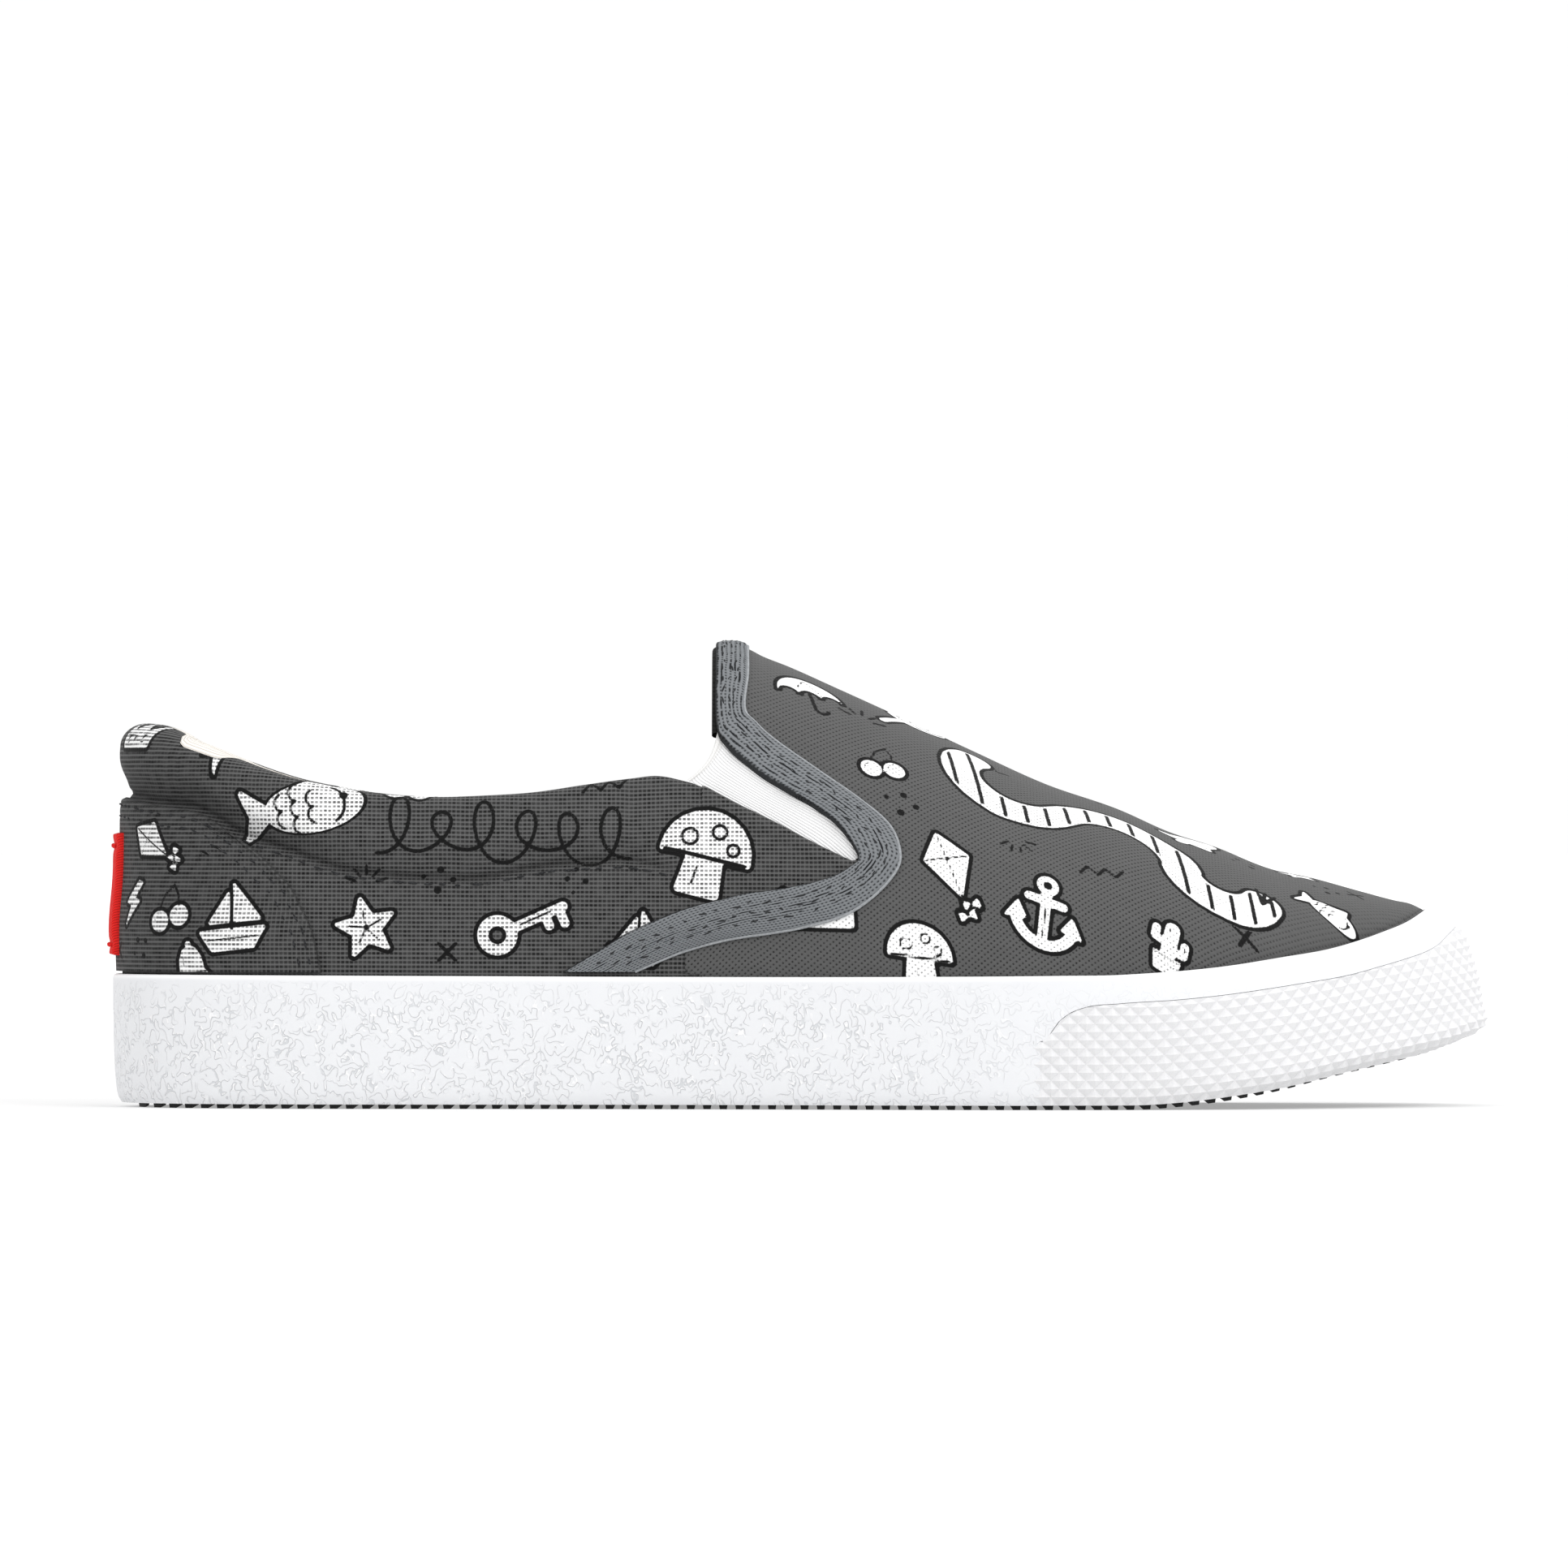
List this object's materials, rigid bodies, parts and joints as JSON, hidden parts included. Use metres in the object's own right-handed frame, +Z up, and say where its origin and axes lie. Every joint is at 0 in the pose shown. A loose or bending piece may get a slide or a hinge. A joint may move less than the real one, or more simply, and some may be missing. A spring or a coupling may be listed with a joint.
{
  "type": "slip-on low-top sneaker",
  "caption": "Low-top slip-on canvas sneaker: hollow upper with padded collar, elastic side gores and bound throat, on a white rubber foxing with knurled toe bumper and black tread.",
  "frame": {"origin": "on the ground, on a tread bar under the middle of the shoe's length", "axes": "+X towards the toe, +Y towards the inner (medial) side, +Z up from the ground"},
  "size_m": [0.2906, 0.1039, 0.0983],
  "materials": {
    "outsole": "matt black tread rubber",
    "foxing": "matt white rubber with a fine wrinkled emboss",
    "toe_bumper": "matt white knurled rubber",
    "insole": "off-white cloth over foam",
    "upper": "dark grey woven canvas with a black and white print",
    "gore_lateral": "white ribbed elastic",
    "gore_medial": "white ribbed elastic",
    "throat_binding": "blue-grey woven tape",
    "heel_counter": "dark grey woven canvas with a black and white print",
    "heel_tab": "plain red woven tab"
  },
  "bodies": {
    "root": {"outsole": "outsole", "foxing": "foxing", "toe_bumper": "toe_bumper", "insole": "insole", "upper": "upper", "gore_lateral": "gore_lateral", "gore_medial": "gore_medial", "throat_binding": "throat_binding", "heel_counter": "heel_counter", "heel_tab": "heel_tab"}
  },
  "joints": []
}
